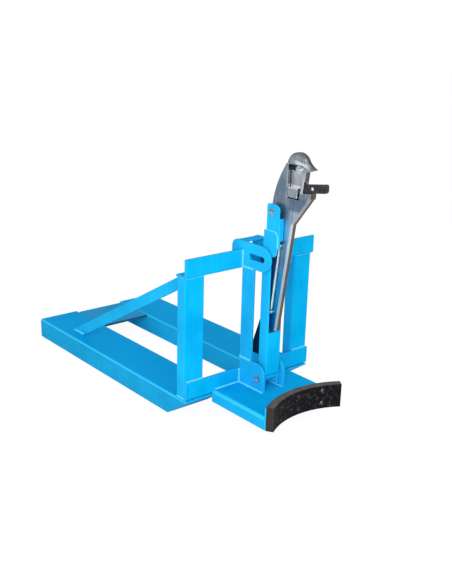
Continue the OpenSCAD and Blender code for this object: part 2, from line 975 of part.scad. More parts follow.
hollow = (tip + crown_edge) / 2 + (hollow_r - beak_sag) * [beak_way[1], -beak_way[0]];
throat_low_z = jaw_line(throat_line(throat_y, jaw_low_z), jaw_low_z) - chin_gap;
throat_foot = [throat_line(throat_y, throat_low_z), throat_low_z];

// A line that slopes as the jaw does, through a height at the throat
function jaw_line(y, z_throat) = z_throat + (throat_y - y) * tan(jaw_slope);

// A line that leans as the throat does, through a depth at the grip
function throat_line(y, z) = y + (grip_z - z) * tan(throat_lean);

// A point at the share t of an edge from a to b that bulges by h to the right of its way
function bulged(a, b, h, t) =
  let (way = (b - a) / norm(b - a))
  a + t * (b - a) + 4 * h * t * (1 - t) * [way[1], -way[0]];

module arm_outline() {
  polygon([
    front_low,
    [tail_front + tail_w, tail_z],
    [clevis_rear - mast_wall - arm_clear, arm_pin_z - boss_r],
    each [for (i = [0 : back_steps]) bulged(nape, back_edge, head_bulge, i / back_steps)],
    [crown_y, crown_z + crown_r - back_in],
    crown_edge,
    tip,
    head_top,
    throat_foot,
    [chin_y, jaw_line(chin_y, jaw_low_z) - chin_gap],
    chin,
    neck
  ]);
  translate([arm_pin_y, arm_pin_z])
    circle(boss_r);
  translate([crown_y, crown_z])
    circle(crown_r);
}

// The room in front of the throat, between the beak and the jaw
module mouth_room() {
  low = crown_z - crown_r - 1;
  polygon([
    [throat_line(throat_y, low), low],
    head_top,
    tip,
    [jaw_tip_y, tip[1]],
    [jaw_tip_y, low]
  ]);
}

// The mortise that the jaw passes through, between the window and the throat
module jaw_mortise() {
  rear = link_front;
  front = throat_y - 1;
  across(-jaw_t / 2 - jaw_side_room, jaw_t + 2 * jaw_side_room)
    polygon([
      [rear, jaw_line(rear, jaw_low_z - pass_gap)],
      [rear, jaw_top_z + jaw_room],
      [front, jaw_top_z + jaw_room],
      [front, jaw_line(front, jaw_low_z - pass_gap)]
    ]);
}

// Cuts both long corners of the arm's edge from one point to another
module ground_edge(from, to) {
  run = to - from;
  wide = arm_chamfer * sqrt(2);
  over = arm_chamfer / 4;
  for (x = [-arm_half, arm_half])
    translate([x, from[0] + y_shift, from[1]])
      rotate([atan2(run[1], run[0]), 0, 0])
        rotate([0, 45, 0])
          translate([-wide / 2, -over, -wide / 2])
            cube([wide, norm(run) + 2 * over, wide]);
}

// Cuts both corners of the crown's round edge, from the beak to the back of the head
module ground_crown() {
  start = 12;
  inner = crown_r - arm_chamfer;
  for (side = [0, 1])
    translate([0, crown_y + y_shift, crown_z])
      mirror([side, 0, 0])
        rotate([90, 0, 90])
          rotate([0, 0, start])
            rotate_extrude(angle = 180 - crown_turn - start)
              polygon([
                [inner, arm_half],
                [inner, arm_half + 1],
                [crown_r + 2, arm_half + 1],
                [crown_r + 2, arm_half - arm_chamfer - 2]
              ]);
}

// Cuts both corners of the beak's hollow outer edge
module ground_hollow() {
  over = 1;
  for (side = [0, 1])
    translate([0, hollow[0] + y_shift, hollow[1]])
      mirror([side, 0, 0])
        rotate([0, 90, 0])
          translate([0, 0, arm_half - arm_chamfer - over])
            cylinder(r1 = hollow_r - over, r2 = hollow_r + arm_chamfer + over, h = arm_chamfer + 2 * over,
              $fn = 128);
}

// The window's outline, grown by a rim, with a front edge that leans as the throat does
module window_outline(rim, front_rim, r) {
  low = window_low - rim;
  top = window_top + rim;
  low_y = throat_line(window_front - front_rim, low);
  top_y = throat_line(window_front - front_rim, top);
  difference() {
    soft_block(top_y, window_rear + rim, low, top, r);
    polygon([[top_y - 1, low - 1], [low_y, low - 1], [low_y, low], [top_y, top], [top_y - 1, top]]);
  }
}

module beak_arm() {
  color(steel)
    difference() {
      across(-arm_half, arm_t)
        difference() {
          arm_outline();
          mouth_room();
          window_outline(0, 0, window_r);
          translate(hollow)
            circle(hollow_r, $fn = 128);
        }
      jaw_mortise();
      ground_edge(front_low, neck);
      ground_edge(chin, neck);
      ground_edge(head_top, throat_foot);
      ground_crown();
      ground_hollow();
      rod(-arm_t, arm_t, arm_pin_y, arm_pin_z, arm_pin_d + 2 * run_gap);
    }
}

// The plate on the far side of the head, which closes the window and carries the jaw's pin
module head_back_plate() {
  color(steel)
    difference() {
      across(arm_half, back_t)
        window_outline(back_rim, nib_w - arm_chamfer, back_r);
      rod(arm_half - 1, arm_half + back_t + 1, jaw_pin_y, jaw_pin_z, jaw_pin_d + 2 * run_gap);
    }
}

// The jaw's pin, headed behind the back plate
link_back = arm_half - link_back_gap;
link_face = link_back - link_t;

module jaw_pin() {
  back = arm_half + back_t;
  color("silver") {
    rod(back, back + pin_head_t, jaw_pin_y, jaw_pin_z, jaw_pin_d + 2 * jaw_head_rim);
    rod(link_face - clip_t - pin_tail, back + eps, jaw_pin_y, jaw_pin_z, jaw_pin_d);
  }
}

module jaw_pin_clip() {
  x = link_face - pass_gap - clip_t;
  color("silver")
    pipe(x, x + clip_t, jaw_pin_y, jaw_pin_z, jaw_pin_d + 2 * jaw_clip_rim, jaw_pin_d + 2 * run_gap);
}

// The link that hangs on the jaw's pin at the back of the window
carrier_low = window_low + carrier_up;
carrier_top = jaw_top_z - carrier_drop;
carrier_front = throat_line(window_front, carrier_low) + carrier_gap;
link_front = throat_line(window_front, carrier_top) + link_gap;
link_rear = window_rear - link_side;

module jaw_link() {
  color("lightgray")
    difference() {
      across(link_face, link_t)
        union() {
          translate([jaw_pin_y, jaw_pin_z])
            circle(eye_r);
          block(link_front, link_rear, carrier_top, jaw_pin_z - link_neck);
          block(jaw_pin_y - eye_r + link_side, jaw_pin_y + eye_r - link_side, carrier_top, jaw_pin_z);
        }
      rod(-arm_t, arm_t, jaw_pin_y, jaw_pin_z, jaw_pin_d + 2 * run_gap);
    }
}

// The block under the link that the jaw is bolted to, flush with the arm's near face
module jaw_carrier() {
  face = -arm_half + pass_gap;
  color(steel)
    across(face, link_back - face)
      block(carrier_front, link_rear, carrier_low, carrier_top);
}

// The black jaw bar that goes under the drum's rim
module lower_jaw() {
  nose = jaw_tip_y;
  root = link_front - root_in;
  root_low = jaw_line(root, jaw_low_z);
  hole_y = throat_y - jaw_hole_out;
  color([0.13, 0.13, 0.14])
    difference() {
      across(-jaw_t / 2, jaw_t)
        polygon([
          [carrier_front, root_low - root_drop],
          [carrier_front, carrier_top - root_set],
          [root, carrier_top - root_set],
          [root, jaw_line(root, jaw_top_z)],
          [nose + jaw_end_r, jaw_line(nose + jaw_end_r, jaw_top_z)],
          [nose, jaw_line(nose, jaw_top_z) - jaw_end_r],
          [nose, jaw_line(nose, jaw_low_z) + jaw_end_r],
          [nose + jaw_end_r, jaw_line(nose + jaw_end_r, jaw_low_z)],
          [root, root_low]
        ]);
      rod(-jaw_t, jaw_t, hole_y, jaw_line(hole_y, (jaw_low_z + jaw_top_z) / 2), jaw_hole_d);
    }
}

left_fork_pocket();
right_fork_pocket();
rear_tie_plate();
left_brace();
lower_beam();
left_post();
right_post();
top_angle();
left_lug();
right_lug();
lug_cover_plate();
left_rib();
right_rib();
left_base_bracket();
right_base_bracket();
belly_box();
saddle_plate();
saddle_pad();
pad_bolts();
pad_nuts();
mast_pivot_bolt();
mast_pivot_nut();
mast_pivot_washers();
mast_tube();
left_mast_cheek();
right_mast_cheek();
mast_heel_web();
mast_pivot_bush();
stop_pins();
clevis_tube();
arm_pin();
arm_pin_clip();
arm_spacers();
upper_spring_peg();
return_spring();
beak_arm();
head_back_plate();
lower_spring_peg();
jaw_pin();
jaw_pin_clip();
jaw_link();
jaw_carrier();
lower_jaw();
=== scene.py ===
import json
import math

import bpy
from mathutils import Matrix, Vector


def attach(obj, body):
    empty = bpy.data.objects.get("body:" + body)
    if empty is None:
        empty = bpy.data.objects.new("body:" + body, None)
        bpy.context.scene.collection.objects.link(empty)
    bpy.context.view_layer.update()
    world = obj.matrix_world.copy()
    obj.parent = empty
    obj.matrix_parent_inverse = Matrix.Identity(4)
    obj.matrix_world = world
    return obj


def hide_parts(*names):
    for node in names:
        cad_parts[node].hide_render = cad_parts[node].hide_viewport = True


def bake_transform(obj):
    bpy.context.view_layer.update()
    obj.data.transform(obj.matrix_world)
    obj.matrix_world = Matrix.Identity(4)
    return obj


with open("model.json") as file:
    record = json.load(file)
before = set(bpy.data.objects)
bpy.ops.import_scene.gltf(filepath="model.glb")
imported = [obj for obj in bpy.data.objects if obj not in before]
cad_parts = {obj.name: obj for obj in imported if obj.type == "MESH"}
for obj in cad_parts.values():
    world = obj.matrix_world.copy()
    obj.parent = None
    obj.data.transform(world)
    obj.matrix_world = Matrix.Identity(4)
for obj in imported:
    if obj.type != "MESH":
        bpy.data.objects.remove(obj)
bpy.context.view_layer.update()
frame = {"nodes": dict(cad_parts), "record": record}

MM = 0.001
# Depths are told from the lower beam's front face, plus towards the truck
BEAM_FACE_Y = -342.0


def depth_y(depth):
    """The frame's Y, in metres, of a depth in millimetres."""
    return (depth + BEAM_FACE_Y) * MM


def at(x, depth, z):
    """A point in metres from its place across, in depth and in height, in millimetres."""
    return Vector((x * MM, depth_y(depth), z * MM))


# Camera, at the photograph's place and lens
IMAGE_H = 584
FOCAL_PX = 830.13
CAMERA_PLACE = at(-1806.2, -1987.8, 1282.1)
CAMERA_TURN, CAMERA_RISE, CAMERA_ROLL = (math.radians(a) for a in (-40.334, 18.093, 1.4955))


def photo_camera():
    data = bpy.data.cameras.new("photo_camera")
    data.sensor_width = 36
    data.lens = FOCAL_PX / IMAGE_H * data.sensor_width
    data.clip_end = 60
    back = Vector((
        math.sin(CAMERA_TURN) * math.cos(CAMERA_RISE),
        -math.cos(CAMERA_TURN) * math.cos(CAMERA_RISE),
        math.sin(CAMERA_RISE)))
    level = (-back).cross(Vector((0, 0, 1))).normalized()
    upright = level.cross(-back).normalized()
    right = math.cos(CAMERA_ROLL) * level + math.sin(CAMERA_ROLL) * upright
    up = -math.sin(CAMERA_ROLL) * level + math.cos(CAMERA_ROLL) * upright
    turn = Matrix((right, up, back)).transposed()
    camera = bpy.data.objects.new("photo_camera", data)
    camera.matrix_world = Matrix.Translation(CAMERA_PLACE) @ turn.to_4x4()
    bpy.context.collection.objects.link(camera)
    bpy.context.scene.camera = camera


photo_camera()
bpy.context.scene.view_settings.view_transform = "Standard"


# Node helpers
def add_node(tree, kind, **settings):
    node = tree.nodes.new(kind)
    for key, value in settings.items():
        setattr(node, key, value)
    return node


def wire(tree, source, target):
    tree.links.new(source, target)


def feed(tree, socket, value):
    """Links a socket to another socket, or sets it to a plain value."""
    if isinstance(value, bpy.types.NodeSocket):
        tree.links.new(value, socket)
    else:
        socket.default_value = value


def maths(tree, operation, *values, clamp=False):
    node = add_node(tree, "ShaderNodeMath", operation=operation, use_clamp=clamp)
    for socket, value in zip(node.inputs, values):
        feed(tree, socket, value)
    return node.outputs[0]


def blend_colour(tree, factor, first, second):
    node = add_node(tree, "ShaderNodeMix", data_type="RGBA")
    feed(tree, node.inputs[0], factor)
    feed(tree, node.inputs[6], first)
    feed(tree, node.inputs[7], second)
    return node.outputs[2]


def span(tree, value, low, high, to_low=0.0, to_high=1.0):
    node = add_node(tree, "ShaderNodeMapRange")
    for socket, part in zip(node.inputs, (value, low, high, to_low, to_high)):
        feed(tree, socket, part)
    return node.outputs[0]


def new_group(name, kind, inputs, outputs):
    """A node group with named sockets: (name, socket type, default)."""
    tree = bpy.data.node_groups.new(name, kind)
    for label, socket_type, default in inputs:
        socket = tree.interface.new_socket(label, in_out="INPUT", socket_type=socket_type)
        if default is not None:
            socket.default_value = default
    for label, socket_type in outputs:
        tree.interface.new_socket(label, in_out="OUTPUT", socket_type=socket_type)
    return tree, tree.nodes.new("NodeGroupInput").outputs, tree.nodes.new("NodeGroupOutput").inputs


def noise(tree, place, scale, detail=3.0, roughness=0.55):
    node = add_node(tree, "ShaderNodeTexNoise")
    wire(tree, place, node.inputs["Vector"])
    feed(tree, node.inputs["Scale"], scale)
    node.inputs["Detail"].default_value = detail
    node.inputs["Roughness"].default_value = roughness
    return node.outputs["Fac"]


# Shader groups that several finishes share
def edge_wear_group():
    tree, given, out = new_group(
        "edge_wear", "ShaderNodeTree",
        [("Radius", "NodeSocketFloat", 0.002), ("Break-up", "NodeSocketFloat", 60.0)],
        [("Edge", "NodeSocketFloat"), ("Worn", "NodeSocketFloat"), ("Soft Normal", "NodeSocketVector")])
    bevel = add_node(tree, "ShaderNodeBevel", samples=6)
    wire(tree, given["Radius"], bevel.inputs["Radius"])
    facing = add_node(tree, "ShaderNodeNewGeometry")
    agree = add_node(tree, "ShaderNodeVectorMath", operation="DOT_PRODUCT")
    wire(tree, bevel.outputs[0], agree.inputs[0])
    wire(tree, facing.outputs["True Normal"], agree.inputs[1])
    edge = span(tree, agree.outputs["Value"], 0.985, 0.80)
    place = add_node(tree, "ShaderNodeTexCoord").outputs["Object"]
    patches = noise(tree, place, given["Break-up"], 5.0, 0.65)
    wire(tree, edge, out["Edge"])
    wire(tree, maths(tree, "MULTIPLY", edge, span(tree, patches, 0.52, 0.62)), out["Worn"])
    wire(tree, bevel.outputs[0], out["Soft Normal"])
    return tree


def surface_grain_group():
    tree, given, out = new_group(
        "surface_grain", "ShaderNodeTree",
        [("Fine", "NodeSocketFloat", 900.0), ("Cloud", "NodeSocketFloat", 9.0),
         ("Stretch", "NodeSocketVector", (1.0, 1.0, 1.0))],
        [("Cloud", "NodeSocketFloat"), ("Fine", "NodeSocketFloat")])
    place = add_node(tree, "ShaderNodeTexCoord").outputs["Object"]
    pulled = add_node(tree, "ShaderNodeVectorMath", operation="MULTIPLY")
    wire(tree, place, pulled.inputs[0])
    wire(tree, given["Stretch"], pulled.inputs[1])
    wire(tree, noise(tree, place, given["Cloud"], 4.0), out["Cloud"])
    wire(tree, noise(tree, pulled.outputs[0], given["Fine"], 3.0), out["Fine"])
    return tree


def settled_dust_group():
    tree, given, out = new_group(
        "settled_dust", "ShaderNodeTree",
        [("Scale", "NodeSocketFloat", 14.0)],
        [("Dust", "NodeSocketFloat")])
    facing = add_node(tree, "ShaderNodeNewGeometry")
    parts = add_node(tree, "ShaderNodeSeparateXYZ")
    wire(tree, facing.outputs["True Normal"], parts.inputs[0])
    place = add_node(tree, "ShaderNodeTexCoord").outputs["Object"]
    drift = span(tree, noise(tree, place, given["Scale"], 6.0, 0.6), 0.3, 0.75)
    wire(tree, maths(tree, "MULTIPLY", span(tree, parts.outputs["Z"], 0.5, 0.95), drift), out["Dust"])
    return tree


EDGE = edge_wear_group()
GRAIN = surface_grain_group()
DUST = settled_dust_group()


def place_group(tree, group, **values):
    node = add_node(tree, "ShaderNodeGroup", node_tree=group)
    for name, value in values.items():
        feed(tree, node.inputs[name.replace("_", " ")], value)
    return node.outputs


def new_finish(name, **sockets):
    material = bpy.data.materials.new(name)
    material.use_nodes = True
    tree = material.node_tree
    shader = tree.nodes["Principled BSDF"]
    for key, value in sockets.items():
        shader.inputs[key.replace("_", " ")].default_value = value
    return material, tree, shader.inputs


def bump(tree, height, strength, distance, normal):
    node = add_node(tree, "ShaderNodeBump")
    node.inputs["Strength"].default_value = strength
    node.inputs["Distance"].default_value = distance
    wire(tree, height, node.inputs["Height"])
    wire(tree, normal, node.inputs["Normal"])
    return node.outputs[0]


# Finishes
def normal_parts(tree):
    """The true normal's parts, and how squarely it faces sideways."""
    parts = add_node(tree, "ShaderNodeSeparateXYZ")
    wire(tree, add_node(tree, "ShaderNodeNewGeometry").outputs["True Normal"], parts.inputs[0])
    return parts.outputs, maths(tree, "ABSOLUTE", parts.outputs["X"])


def enamel(name, deep, bright, highlight_tone, highlight_share, front_shade=0.0, side_shade=0.0,
           top_shade=0.6):
    """Glossy enamel with clouds, runs, orange peel, painted highlights and sheen, and dust on what faces
    up.

    The three shades are painted shade: how far the fronts, sides and tops go towards a deeper tone.
    """
    material, tree, shader = new_finish(
        name, Coat_Weight=0.006, Coat_Roughness=0.12, Specular_IOR_Level=0.004)
    wear = place_group(tree, EDGE, Radius=0.0022)
    grain = place_group(tree, GRAIN, Fine=420.0, Cloud=7.0)
    runs = place_group(tree, GRAIN, Fine=130.0, Cloud=20.0, Stretch=(1.0, 1.0, 0.05))
    dust = place_group(tree, DUST)
    facing, across = normal_parts(tree)
    # the rounded bends, which get a painted highlight
    bend = span(tree, maths(tree, "MULTIPLY", across, facing["Z"]), 0.14, 0.38)
    mixed = maths(tree, "MULTIPLY_ADD", runs["Fine"], 0.24, maths(tree, "MULTIPLY", grain["Cloud"], 0.76))
    tone = blend_colour(tree, span(tree, mixed, 0.34, 0.66), deep, bright)
    # painted shade: fronts, sides and tops go darker by the way they face, the tops also bluer
    shade = tuple(0.18 * c for c in deep[:3]) + (1,)
    tone = blend_colour(tree, span(tree, facing["Y"], -0.5, -0.9, 0.0, front_shade), tone, shade)
    tone = blend_colour(tree, span(tree, across, 0.6, 0.9, 0.0, side_shade), tone, shade)
    tone = blend_colour(tree, span(tree, facing["Z"], 0.6, 1.0, 0.0, top_shade), tone,
                        (0.9 * deep[0], 0.86 * deep[1], 1.04 * deep[2], 1))
    # painted sheen: faces that look sideways go paler
    tone = blend_colour(tree, span(tree, across, 0.6, 1.0, 0.0, 0.03), tone,
                        (2 * highlight_tone[0], 0.95 * highlight_tone[1], 0.95 * highlight_tone[2], 1))
    # painted highlight along the rounded bends
    tone = blend_colour(tree, maths(tree, "MULTIPLY", bend, 0.85), tone,
                        (0.25 * highlight_tone[0], 0.86 * highlight_tone[1], highlight_tone[2], 1))
    # painted highlight along the sharp edges
    tone = blend_colour(tree, maths(tree, "MULTIPLY", wear["Edge"], highlight_share), tone, highlight_tone)
    tone = blend_colour(tree, maths(tree, "MULTIPLY", dust["Dust"], 0.06), tone, (0.01, 0.24, 0.40, 1))
    tone = blend_colour(tree, maths(tree, "MULTIPLY", wear["Worn"], 0.30), tone, (0.42, 0.62, 0.74, 1))
    wire(tree, tone, shader["Base Color"])
    wire(tree, span(tree, grain["Cloud"], 0.2, 0.8, 0.25, 0.40), shader["Roughness"])
    wire(tree, bump(tree, grain["Fine"], 0.10, 0.0006, wear["Soft Normal"]), shader["Normal"])
    return material


def within(tree, value, low, high, soft):
    """One between two limits, and nothing outside them."""
    return maths(tree, "MULTIPLY", span(tree, value, low - soft, low), span(tree, value, high + soft, high))


def object_place(tree):
    """The shaded point's parts, in the piece's own frame."""
    parts = add_node(tree, "ShaderNodeSeparateXYZ")
    wire(tree, add_node(tree, "ShaderNodeTexCoord").outputs["Object"], parts.inputs[0])
    return parts.outputs


def plate_steel(name, dark, light, bright, rough, stretch, streak, highlight_heights=None):
    """Bare steel with drawn streaks, darker mill marks, bright rubbed edges, and a painted highlight on a
    band of heights.
    """
    material, tree, shader = new_finish(name, Metallic=1.0)
    wear = place_group(tree, EDGE, Radius=0.0025)
    grain = place_group(tree, GRAIN, Fine=streak, Cloud=16.0, Stretch=stretch)
    mixed = maths(tree, "MULTIPLY_ADD", grain["Fine"], 0.45, maths(tree, "MULTIPLY", grain["Cloud"], 0.55))
    tone = blend_colour(tree, span(tree, mixed, 0.35, 0.65), dark, light)
    if highlight_heights:
        # painted highlight on a band of heights
        band = within(tree, object_place(tree)["Z"], *highlight_heights, 0.003)
        tone = blend_colour(tree, maths(tree, "MULTIPLY", band, 0.95), tone, (0.99, 0.99, 1.0, 1))
    tone = blend_colour(tree, maths(tree, "MULTIPLY", wear["Edge"], 0.7), tone, bright)
    wire(tree, tone, shader["Base Color"])
    wire(tree, span(tree, mixed, 0.3, 0.7, rough + 0.14, rough), shader["Roughness"])
    wire(tree, bump(tree, grain["Fine"], 0.12, 0.0004, wear["Soft Normal"]), shader["Normal"])
    return material


def arm_steel(name):
    """Flame cut plate: drawn faces, scale on the cut sides, ground corners, and a painted blue reflection
    low down.
    """
    material, tree, shader = new_finish(name, Metallic=1.0)
    wear = place_group(tree, EDGE, Radius=0.0025)
    grain = place_group(tree, GRAIN, Fine=260.0, Cloud=16.0, Stretch=(1.0, 1.0, 0.06))
    mixed = maths(tree, "MULTIPLY_ADD", grain["Fine"], 0.45, maths(tree, "MULTIPLY", grain["Cloud"], 0.55))
    place = object_place(tree)
    facing, across = normal_parts(tree)
    tone = blend_colour(tree, span(tree, mixed, 0.36, 0.64),
                        (0.17, 0.235, 0.30, 1), (0.50, 0.585, 0.655, 1))
    # painted reflection of the blue mast on the arm's lower part
    painted_blue_reflection = span(tree, place["Z"], 0.63, 0.47, 0.0, 0.95)
    tone = blend_colour(tree, painted_blue_reflection, tone, (0.0, 0.375, 0.66, 1))
    # painted pale blue reflection on a band of heights above it
    pale_reflection = within(tree, place["Z"], 0.60, 0.67, 0.04)
    tone = blend_colour(tree, maths(tree, "MULTIPLY", pale_reflection, 0.55), tone, (0.52, 0.78, 0.93, 1))
    # darker towards the head's back, and a painted shadow under the window
    rearward = span(tree, place["Y"], depth_y(-172), depth_y(-128), 0.0, 0.62)
    head_rear = maths(tree, "MULTIPLY", rearward, span(tree, place["Z"], 0.68, 0.74))
    tone = blend_colour(tree, head_rear, tone, (0.13, 0.21, 0.29, 1))
    window_shadow = maths(tree, "MULTIPLY", within(tree, place["Y"], depth_y(-232), depth_y(-172), 0.012),
                  within(tree, place["Z"], 0.728, 0.764, 0.010))
    tone = blend_colour(tree, maths(tree, "MULTIPLY", window_shadow, 0.62), tone, (0.06, 0.12, 0.22, 1))
    # painted highlight round the window's top and the beak's root
    root_y, root_z = at(0, -219, 873.5)[1:]
    slope = 0.143
    level = root_z - slope * root_y
    rim_highlight = maths(tree, "MULTIPLY", within(tree, place["Y"], root_y - 0.027, root_y + 0.029, 0.010),
                within(tree, maths(tree, "MULTIPLY_ADD", place["Y"], -slope, place["Z"]),
                       level - 0.0035, level + 0.002, 0.005))
    rim_highlight = maths(tree, "MULTIPLY", rim_highlight, span(tree, grain["Cloud"], 0.25, 0.45, 0.4, 1.0))
    tone = blend_colour(tree, maths(tree, "MULTIPLY", rim_highlight, 0.9), tone, (0.96, 0.96, 0.96, 1))
    # scale on the cut sides, but not inside the window
    window_y, window_z = at(0, -188, 815)[1:]
    inside = maths(tree, "MULTIPLY", within(tree, place["Y"], window_y - 0.036, window_y + 0.034, 0.001),
                   within(tree, place["Z"], window_z - 0.056, window_z + 0.056, 0.001))
    scale = blend_colour(tree, grain["Cloud"], (0.10, 0.083, 0.074, 1), (0.18, 0.150, 0.134, 1))
    cut = maths(tree, "MULTIPLY", span(tree, across, 0.50, 0.25), maths(tree, "SUBTRACT", 1.0, inside))
    tone = blend_colour(tree, cut, tone, scale)
    walls = maths(tree, "MULTIPLY", inside, span(tree, across, 0.50, 0.25, 0.0, 0.8))
    tone = blend_colour(tree, walls, tone, (0.13, 0.14, 0.16, 1))
    # ground corners, duller round the beak
    ground = maths(tree, "MULTIPLY", within(tree, across, 0.62, 0.80, 0.06),
                   span(tree, grain["Cloud"], 0.25, 0.6, 0.45, 0.85))
    tone = blend_colour(tree, ground, tone,
                        blend_colour(tree, span(tree, place["Z"], 0.80, 0.86),
                                     (0.42, 0.44, 0.46, 1), (0.15, 0.15, 0.145, 1)))
    tone = blend_colour(tree, maths(tree, "MULTIPLY", wear["Edge"], 0.5), tone, (0.86, 0.88, 0.90, 1))
    wire(tree, tone, shader["Base Color"])
    wire(tree, span(tree, mixed, 0.3, 0.7, 0.50, 0.34), shader["Roughness"])
    wire(tree, bump(tree, grain["Fine"], 0.12, 0.0004, wear["Soft Normal"]), shader["Normal"])
    return material


def blacked_steel(name):
    """Oil blacked bar, mottled grey, with a bright rubbed bore."""
    material, tree, shader = new_finish(name, Metallic=0.6, Specular_IOR_Level=0.4)
    wear = place_group(tree, EDGE, Radius=0.002)
    grain = place_group(tree, GRAIN, Fine=240.0, Cloud=60.0)
    mixed = maths(tree, "MULTIPLY_ADD", grain["Fine"], 0.6, maths(tree, "MULTIPLY", grain["Cloud"], 0.4))
    tone = blend_colour(tree, span(tree, mixed, 0.36, 0.64),
                        (0.011, 0.012, 0.014, 1), (0.060, 0.065, 0.074, 1))
    from_bore = add_node(tree, "ShaderNodeVectorMath", operation="DISTANCE")
    flat = add_node(tree, "ShaderNodeVectorMath", operation="MULTIPLY")
    wire(tree, add_node(tree, "ShaderNodeTexCoord").outputs["Object"], flat.inputs[0])
    flat.inputs[1].default_value = (0, 1, 1)
    wire(tree, flat.outputs[0], from_bore.inputs[0])
    from_bore.inputs[1].default_value = JAW_BORE
    tone = blend_colour(tree, span(tree, from_bore.outputs["Value"], 0.0056, 0.0047), tone,
                        (0.85, 0.86, 0.87, 1))
    tone = blend_colour(tree, maths(tree, "MULTIPLY", wear["Edge"], 0.5), tone, (0.20, 0.20, 0.22, 1))
    wire(tree, tone, shader["Base Color"])
    wire(tree, span(tree, mixed, 0.3, 0.7, 0.58, 0.40), shader["Roughness"])
    wire(tree, bump(tree, grain["Fine"], 0.30, 0.0006, wear["Soft Normal"]), shader["Normal"])
    return material


def smeared_bolt(name):
    """Plated fastener with enamel smeared over it."""
    material, tree, shader = new_finish(name, Metallic=0.7)
    wear = place_group(tree, EDGE, Radius=0.0015)
    grain = place_group(tree, GRAIN, Fine=300.0, Cloud=90.0)
    tone = blend_colour(tree, span(tree, grain["Cloud"], 0.40, 0.60),
                        (0.03, 0.30, 0.52, 1), (0.42, 0.50, 0.56, 1))
    tone = blend_colour(tree, maths(tree, "MULTIPLY", wear["Edge"], 0.6), tone, (0.62, 0.68, 0.72, 1))
    wire(tree, tone, shader["Base Color"])
    wire(tree, span(tree, grain["Fine"], 0.3, 0.7, 0.36, 0.50), shader["Roughness"])
    wire(tree, bump(tree, grain["Fine"], 0.15, 0.0004, wear["Soft Normal"]), shader["Normal"])
    return material


def pad_rubber(name):
    """Black moulded rubber with scuffs, and lighter brown grey ends and top."""
    material, tree, shader = new_finish(name, Specular_IOR_Level=0.06)
    wear = place_group(tree, EDGE, Radius=0.003)
    grain = place_group(tree, GRAIN, Fine=700.0, Cloud=24.0)
    dust = place_group(tree, DUST, Scale=30.0)
    facing, across = normal_parts(tree)
    tone = blend_colour(tree, grain["Cloud"], (0.002, 0.002, 0.003, 1), (0.008, 0.008, 0.010, 1))
    place = add_node(tree, "ShaderNodeTexCoord").outputs["Object"]
    scuffs = span(tree, noise(tree, place, 85.0, 5.0, 0.7), 0.54, 0.68)
    tone = blend_colour(tree, maths(tree, "MULTIPLY", scuffs, 0.7), tone, (0.075, 0.082, 0.095, 1))
    tone = blend_colour(tree, span(tree, across, 0.65, 0.80, 0.0, 0.8), tone, (0.040, 0.035, 0.032, 1))
    tone = blend_colour(tree, span(tree, facing["Z"], 0.6, 0.9, 0.0, 0.55), tone, (0.11, 0.092, 0.082, 1))
    tone = blend_colour(tree, maths(tree, "MULTIPLY", dust["Dust"], 0.6), tone, (0.19, 0.16, 0.145, 1))
    tone = blend_colour(tree, maths(tree, "MULTIPLY", wear["Worn"], 0.5), tone, (0.09, 0.083, 0.078, 1))
    wire(tree, tone, shader["Base Color"])
    wire(tree, span(tree, grain["Cloud"], 0.2, 0.8, 0.42, 0.75), shader["Roughness"])
    wire(tree, bump(tree, grain["Fine"], 0.25, 0.0005, wear["Soft Normal"]), shader["Normal"])
    return material


# The middle of the jaw bar's bore, and the top of the carrier, where a highlight is painted on the ledge
JAW_BORE = tuple(at(0, -259, 804.7))
LEDGE = max(v.co.z for v in frame["nodes"]["jaw_carrier"].data.vertices)

# Deep and bright tones, the painted highlights' tone, and the painted edge highlight's share
SKY_BLUE = ((0.0, 0.335, 0.66, 1), (0.005, 0.455, 0.83, 1), (0.15, 0.65, 0.95, 1), 0.48)
BLUE = enamel("blue_enamel", *SKY_BLUE)
SHADED_SIDE = enamel("pocket_enamel", *SKY_BLUE, side_shade=0.24)
# the belly box's enamel, with less painted shade on its top
LESS_TOP_SHADE = enamel("box_enamel", *SKY_BLUE, top_shade=0.2)
# greyer, darker enamel for the tie plate, with a painted shadow on its front edge under the brace
GREYED_SHADED = enamel("dusty_enamel", (0.02, 0.29, 0.53, 1), (0.045, 0.38, 0.66, 1), (0.12, 0.50, 0.76, 1), 0.45,
               front_shade=0.85)
# the weld beads' enamel, painted lighter as a highlight on the beads
LIT_BEAD = enamel("bead_enamel", (0.02, 0.44, 0.74, 1), (0.10, 0.58, 0.88, 1), (0.27, 0.74, 0.97, 1), 0.5)
# near-black enamel as painted shade, on the heel web and on the stop pins in the lug's slot
SHADE_ENAMEL = enamel("shaded_enamel", (0.002, 0.012, 0.03, 1), (0.005, 0.028, 0.06, 1),
              (0.01, 0.07, 0.14, 1), 0.4)
FORGED = arm_steel("forged_steel")
BRIGHT = plate_steel("bright_link", (0.30, 0.33, 0.38, 1), (0.60, 0.64, 0.70, 1), (0.92, 0.93, 0.95, 1),
                     0.32, (1.0, 1.0, 0.1), 320.0, (LEDGE - 0.001, LEDGE + 0.005))
ZINC = plate_steel("zinc_plate", (0.50, 0.51, 0.51, 1), (0.72, 0.73, 0.72, 1), (0.88, 0.88, 0.87, 1),
                   0.30, (1.0, 1.0, 1.0), 500.0)
COIL = plate_steel("spring_wire", (0.80, 0.81, 0.82, 1), (0.94, 0.95, 0.96, 1), (0.97, 0.97, 0.97, 1),
                   0.28, (1.0, 1.0, 1.0), 500.0)
DULLED = plate_steel("dulled_bolt", (0.26, 0.27, 0.29, 1), (0.46, 0.47, 0.50, 1), (0.66, 0.67, 0.70, 1),
                     0.42, (1.0, 1.0, 1.0), 420.0)
SCALED = plate_steel("scaled_plate", (0.06, 0.062, 0.068, 1), (0.14, 0.145, 0.155, 1),
                     (0.28, 0.28, 0.30, 1), 0.50, (1.0, 1.0, 0.4), 300.0)
